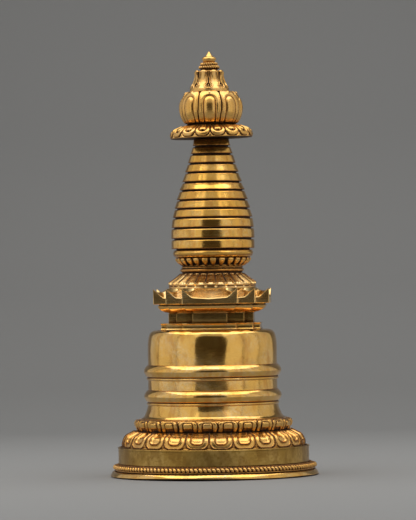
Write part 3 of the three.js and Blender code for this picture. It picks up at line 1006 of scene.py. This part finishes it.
for number, node in enumerate(rings):
    base, crest, wide = bottom(node), top(node), reach(node)
    narrow = radius_at(node, crest)
    inner = narrow - 3
    foot_side = [(wide - 3.0, base), (wide - 1.2, base + 1.2), (wide - 0.25, base + 3)]
    if number:
        foot_side = [(wide - LIP, base), (wide - LIP * 0.3, base + LIP * 0.3)]
    outline = moulding(
        [*corner(inner, base)] + foot_side
        + [(wide, base + LIP if number else base + 4.4), (narrow + 0.1, crest - SHOULDER),
           (narrow - 0.25, crest - SHOULDER * 0.4), (narrow - 0.9, crest - 0.05), (narrow - 1.6, crest),
           *corner(inner, crest), *corner(inner, base + 0.3)],
        0.5,
    )
    relief = worn_ring(number, wide - inner, crest - base)
    place(chase(spin_ring(node + "_turned", outline, 192, warm), outline, relief), node, slot="gilt_polished")

# %% [markdown]
# ## Canopy
# The canopy is a shallow dish with sixteen petals on its sloping edge. Each has a thick rim and a small
# boss with a notch punched into it from below.

# %% Canopy petals
CANOPY_PETALS = 16
CANOPY_EDGE = 36
low, high = bottom("canopy"), top("canopy")
canopy_outline = moulding([
    *corner(10, low), *corner(35.8, low), (36.4, low + 0.4), (36.3, low + 1.4), (36.3, low + 2.8),
    (35.9, low + 4.2), (34.9, low + 5.8), (33.1, low + 7.3), (29.8, low + 8.7), (25.8, low + 10.1),
    (21.6, low + 11.6), *corner(19, high), *corner(10, high), *corner(10, low + 0.4),
], 0.48)


def canopy_petals(angle, along, radius):
    number, off = petal_place(angle, CANOPY_PETALS, 12.5)
    across = np.radians(off) * CANOPY_EDGE + by_hand(number, 61, 0.3)
    half = math.pi * CANOPY_EDGE / CANOPY_PETALS
    down = 45.0 - along  # the petals hang from the bud's foot down to the rim
    edge = inside_petal(across, down, half - 0.4, 18.0, 5.6)
    boss = inside_petal(across, down, 3.3, 13.2, 2.8)
    notch = np.hypot(across, down - 13.4) - 1.1
    height, hollow = bordered_petal(edge, boss, groove=0.8, border=1.1)
    height = height - cushion(-notch, 0.8) * 1.3 * (boss > -0.6)
    hollow = np.maximum(hollow, (notch < 0.1) * (boss > -0.6) * 0.9)
    fade = soft_step(along, 25.9, 26.7) * (1 - soft_step(along, 41, 45))
    # Painted shade: the whole underside, in to the rim, is darkened.
    return height * fade, hollow * fade + (along < 25.9) * 1.2


canopy = chase(
    spin_ring("canopy_chased", canopy_outline, CANOPY_PETALS * 36, chased), canopy_outline, canopy_petals,
)

# The canopy is bent a little: its rim hangs lower on the left than on the right.
for vert in canopy.data.vertices:
    out = math.hypot(vert.co.x, vert.co.y) / MM
    vert.co.z += 0.7 * (vert.co.x / MM / 37) * min(max((out - 18) / 12, 0), 1) * MM
place(canopy, "canopy", slot="gilt_chased")

# %% [markdown]
# ## Lotus bud
# Eight broad petals close over the bud. Each one is a tall smooth boss inside a thick border, the borders
# meet in a dark line, and the tips stand a little away from the flower above.

# %% Bud petals
BUD_PETALS = 8
BUD_BELLY = 27
low, high = bottom("lotus_bud"), top("lotus_bud")
bud_outline = moulding([
    *corner(10, low), (20, low), (21.6, low + 0.5), (23.4, low + 2.5), (25, low + 5.4), (26.3, low + 9),
    (26.9, low + 12.8), (26.8, low + 17), (25.8, low + 20.6), (24.4, low + 23.6), (22.7, low + 25.8),
    (20.9, low + 27.2), (19.4, low + 27.6), (18.2, low + 26.6), *corner(17.6, low + 25),
    *corner(10, low + 25), *corner(10, low + 0.4),
], 0.5)


def bud_petals(angle, along, radius):
    number, off = petal_place(angle, BUD_PETALS, 0)
    half = math.pi * BUD_BELLY / BUD_PETALS
    across = np.radians(off) * BUD_BELLY + by_hand(number, 71, 0.35)
    up = along - 11.0
    edge = inside_petal(across + 0.5 * np.sin(up * 0.22 + 0.6), up, half - 0.3, 33.6, 6.5)
    boss = np.minimum(inside_petal(across, up, 5.1, 25.8, 4.8), up - 0.8)
    band = np.minimum(cushion(edge, 1.5), cushion(-boss - 0.7, 1.8)) - line(edge - 1.9, 0.35) * 0.2
    bead = cushion(1.4 - np.hypot(across, up - 29.6), 1.3) * 0.7
    near_tip = soft_step(up, 24, 31)
    height = np.where(edge > 0, np.maximum(band, cushion(boss, 4.4) * 1.5) + bead - 0.2, -1.4 - near_tip)
    curl = near_tip * (edge > 0) * 0.5
    hollow = line(boss + 0.35, 0.5) * (edge > 0) * 0.85 + line(edge + 0.1, 0.55) + line(edge - 1.9, 0.4) * 0.3
    # The bud is darker towards its foot.
    darker_foot = 0.5 * (1 - soft_step(up, 1, 5))
    fade = soft_step(up, -0.4, 1.4) * (1 - soft_step(up, 34.5, 37))
    return (height + curl) * fade, (hollow + darker_foot) * fade


bud = chase(spin_ring("lotus_bud_chased", bud_outline, BUD_PETALS * 64, chased), bud_outline, bud_petals)
place(bud, "lotus_bud", slot="gilt_chased")

# %% [markdown]
# ## Bellflower
# Above the bud a bellflower closes round the finial and turns its eight tips out. A drop-shaped loop with a
# bead in it is chased between each two petals.

# %% Bellflower petals
FLOWER_MIDDLE = 14
low, high = bottom("bellflower"), top("bellflower")
flower_outline = moulding([
    *corner(9, low), (17.2, low), (17.4, low + 1), (16.9, low + 3.2), (15.5, low + 5.6), (14.1, low + 8.2),
    (13.0, low + 11), (12.3, low + 14), (12.0, low + 16.4), (12.0, low + 18.0), (11.4, low + 18.8),
    (10.2, low + 18.2), *corner(9, low + 16.8), *corner(7.6, low + 17), *corner(7.6, high),
    *corner(5, high), *corner(5, low + 5), *corner(9, low + 0.4),
], 0.4)


def flower_petals(angle, along, radius):
    number, off = petal_place(angle, BUD_PETALS, 0)
    across = np.abs(np.radians(off)) * FLOWER_MIDDLE
    up = along - 8.2
    drop = 1.6 - np.hypot(across, up - 6.4)
    slit = np.where(up > 6.4, 0.35 + 1.5 * soft_step(up, 12, 17.5) - across, -9)
    opening = np.maximum(drop, slit)
    rims = bar(-opening, 0.0, 0.85) * 0.7 + bar(-opening, 1.3, 0.9) * 0.45
    bead = cushion(0.9 - np.hypot(across, up - 6.3), 0.8)
    body = soft_step(up, 2.2, 4) * (1 - soft_step(up, 18.4, 20.2))
    tip = soft_step(np.abs(off), 8, 18) * soft_step(up, 12.5, 18.5) * (1 - soft_step(up, 19.5, 21.5))
    height = (np.where(opening > 0, -0.8 + bead * 1.1, rims)) * body + tip * 1.1
    hollow = line(opening, 0.3) + line(-opening - 1.05, 0.24) * 0.8 + line(-opening - 2.4, 0.24) * 0.4
    hollow = hollow + (opening > 0.2) * (bead < 0.3) * 0.35
    return height, hollow * body + line(up - 21.5, 1.6) * 0.8


flower = chase(
    spin_ring("bellflower_chased", flower_outline, BUD_PETALS * 56, chased), flower_outline, flower_petals,
)
place(flower, "bellflower", slot="gilt_chased")

# %% [markdown]
# ## Finial
# Two corded collars and a jewel end the spire. A collar is a round bar with slanting cuts all the way
# round, and the jewel is a low cup with a pointed cone on it.

# %% Collars and jewel
def corded_collar(node, twists):
    base, crest, wide = bottom(node), top(node), reach(node)
    outline = moulding([
        *corner(4, base), (wide - 1.6, base), (wide - 0.5, base + 0.3), (wide, base + 0.9),
        (wide, crest - 0.9), (wide - 0.5, crest - 0.3), (wide - 1.6, crest), *corner(4, crest),
        *corner(4, base + 0.3),
    ], 0.3)

    def twist(angle, along, radius):
        wave = np.abs(np.cos(np.radians(angle) * twists / 2 + along * 0.6)) ** 0.7
        outer = soft_step(radius, wide - 2.4, wide - 1.2)
        return (wave - 1) * 0.8 * outer, (1 - wave) * 1.1 * outer

    ring = chase(spin_ring(node + "_corded", outline, twists * 16, chased), outline, twist)
    return place(ring, node, slot="gilt_chased")


corded_collar("lower_collar", 26)
corded_collar("upper_collar", 22)

low, high = bottom("jewel"), top("jewel")
jewel_outline = moulding([
    *corner(0, low), *corner(4.9, low), (5.4, low + 0.9), (6.0, low + 2.3), (6.3, low + 3.4),
    (5.7, low + 4.4), (4.3, low + 5.2), (2.8, low + 6.3), (1.7, low + 7.7), (0.8, low + 9.1), (0, high),
], 0.3)
jewel = spin_ring("jewel_turned", jewel_outline, 96, chased, closed=False)
place(jewel, "jewel", slot="gilt_chased")

# %% [markdown]
# The base plate is the sheet that closes the foot from below. Its plain solid is already its real shape, so
# it only takes a finish.

# %% Finish of the base plate
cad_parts["base_plate"].data.materials.clear()
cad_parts["base_plate"].data.materials.append(copper)

# %% [markdown]
# ## Studio
# Polished gold shows the room more than itself. The room here is two walls of soft light, left and right,
# with a dark gap between them where the camera stands. The stupa stands on a sheet of pale paper that is
# swept up behind it.

# %% Floor and backdrop
sweep = bmesh.new()
profile = [(-2.2, 0), (0.9, 0), (1.15, 0.04), (1.35, 0.16), (1.47, 0.36), (1.5, 0.6), (1.5, 2.4)]
verts = [sweep.verts.new((-2.5, y, z)) for y, z in profile]
edges = [sweep.edges.new(pair) for pair in zip(verts, verts[1:])]
made = bmesh.ops.extrude_edge_only(sweep, edges=edges)
new_verts = [g for g in made["geom"] if isinstance(g, bmesh.types.BMVert)]
bmesh.ops.translate(sweep, verts=new_verts, vec=(5, 0, 0))
sweep.normal_update()
if sum(face.normal.z for face in sweep.faces) < 0:
    bmesh.ops.reverse_faces(sweep, faces=sweep.faces)

# The paper is clear from its back, and has a hole where the foot covers it, so that the stupa can be looked
# at from behind and from below as well.
paper = bpy.data.materials.new("studio_paper")
paper.use_nodes = True
paper_tree = paper.node_tree
paper_shader = next(n for n in paper_tree.nodes if n.type == "BSDF_PRINCIPLED")
paper_shader.inputs["Base Color"].default_value = (0.31, 0.31, 0.306, 1)
paper_shader.inputs["Roughness"].default_value = 0.85
one_sided = paper_tree.nodes.new("ShaderNodeMixShader")
which_side = paper_tree.nodes.new("ShaderNodeNewGeometry")
from_middle = paper_tree.nodes.new("ShaderNodeVectorMath")
from_middle.operation = "LENGTH"
paper_tree.links.new(paper_tree.nodes.new("ShaderNodeTexCoord").outputs["Object"], from_middle.inputs[0])
in_hole = maths(paper_tree, "LESS_THAN", from_middle.outputs["Value"], 0.9 * reach("base_plate") * MM)
clear = maths(paper_tree, "MAXIMUM", which_side.outputs["Backfacing"], in_hole)
paper_tree.links.new(clear, one_sided.inputs[0])
paper_tree.links.new(paper_shader.outputs["BSDF"], one_sided.inputs[1])
paper_tree.links.new(paper_tree.nodes.new("ShaderNodeBsdfTransparent").outputs["BSDF"], one_sided.inputs[2])
paper_end = next(n for n in paper_tree.nodes if n.type == "OUTPUT_MATERIAL")
paper_tree.links.new(one_sided.outputs["Shader"], paper_end.inputs["Surface"])
floor = finish_piece("studio_sweep", sweep, paper)


# %% [markdown]
# A lamp's brightness is what a perfect mirror would show in its place, so its power grows with its area.
# Six upright panels stand round the stupa on the floor, each filling the angles it is given, and two wide
# lamps hang over it, one above and a weaker one in front.

# %% Lamps
PANEL_DISTANCE = 1.1
LAMPS_AIM = Vector((0, 0, 0.15))


def soft_lamp(name, stands_at, facing, width, height, brightness):
    data = bpy.data.lights.new(name, "AREA")
    data.shape = "RECTANGLE"
    data.size, data.size_y = width, height
    data.energy = math.pi * brightness * width * height
    lamp = bpy.data.objects.new(name, data)
    lamp.matrix_world = Matrix.Translation(stands_at) @ facing.to_track_quat("-Z", "Y").to_matrix().to_4x4()
    bpy.context.scene.collection.objects.link(lamp)


def upright_panel(name, start, end, height, brightness):
    """A panel that fills the angles from start to end, in degrees from the front and growing to the right."""
    width = 2 * PANEL_DISTANCE * math.tan(math.radians(abs(end - start)) / 2)
    turn = math.radians((start + end) / 2)
    outwards = Vector((math.sin(turn), -math.cos(turn), 0))
    stands_at = outwards * PANEL_DISTANCE + Vector((0, 0, height / 2))
    soft_lamp(name, stands_at, -outwards, width, height, brightness)


def hung_lamp(name, elevation, distance, width, height, brightness):
    rise = math.radians(elevation)
    outwards = Vector((0, -math.cos(rise), math.sin(rise)))
    soft_lamp(name, outwards * distance + LAMPS_AIM, -outwards, width, height, brightness)


for name, start, end, height, brightness in (
    ("left_front_lamp", -27, -62, 1.8, 0.6),
    ("left_side_lamp", -64, -106, 1.8, 0.5),
    ("left_back_lamp", -108, -136, 1.6, 0.36),
    ("right_front_lamp", 27, 58, 1.8, 0.6),
    ("right_side_lamp", 60, 91, 1.8, 0.5),
    ("right_back_lamp", 93, 136, 1.6, 0.36),
):
    upright_panel(name, start, end, height, brightness)
hung_lamp("overhead_lamp", 91, 1.25, 2.2, 1.45, 1.7)
hung_lamp("front_lamp", 52, 1.3, 1.3, 0.95, 0.38)

# %% [markdown]
# The air of the room is nearly dark in front, where the gold mirrors it, and a little lighter behind.

# %% Air of the room
world = bpy.data.worlds.new("studio")
bpy.context.scene.world = world
world.use_nodes = True
air = world.node_tree
air.nodes["Background"].inputs["Color"].default_value = (1, 0.9, 0.76, 1)
towards = air.nodes.new("ShaderNodeSeparateXYZ")
air.links.new(air.nodes.new("ShaderNodeTexCoord").outputs["Generated"], towards.inputs["Vector"])
brightening = remap(air, towards.outputs["Y"], -0.85, 0.1, 0.05, 0.14)
air.links.new(brightening, air.nodes["Background"].inputs["Strength"])

# %% [markdown]
# The camera stands three metres away with a long lens, level with the lower spire, three degrees round to
# the right, and very slightly turned about its own axis, as if held in the hand.

# %% Camera
DISTANCE = 3.097
AZIMUTH = math.radians(3)
ROLL = math.radians(-0.85)
EYE_HEIGHT, AIM_HEIGHT = 0.172, 0.1905
AIM_LEFT = 3.5 * MM
LENS = 242.3
eye = Vector((math.sin(AZIMUTH) * DISTANCE, -math.cos(AZIMUTH) * DISTANCE, EYE_HEIGHT))
to_right = Vector((math.cos(AZIMUTH), math.sin(AZIMUTH), 0))
aim = Vector((0, 0, AIM_HEIGHT)) - to_right * AIM_LEFT
camera_data = bpy.data.cameras.new("camera")
camera_data.lens = LENS
camera_data.sensor_width = 36
camera_data.clip_end = 20
camera = bpy.data.objects.new("camera", camera_data)
turn = (aim - eye).to_track_quat("-Z", "Y").to_matrix().to_4x4()
camera.matrix_world = Matrix.Translation(eye) @ turn @ Matrix.Rotation(ROLL, 4, "Z")
bpy.context.scene.collection.objects.link(camera)
bpy.context.scene.camera = camera
bpy.context.scene.view_settings.view_transform = "Standard"
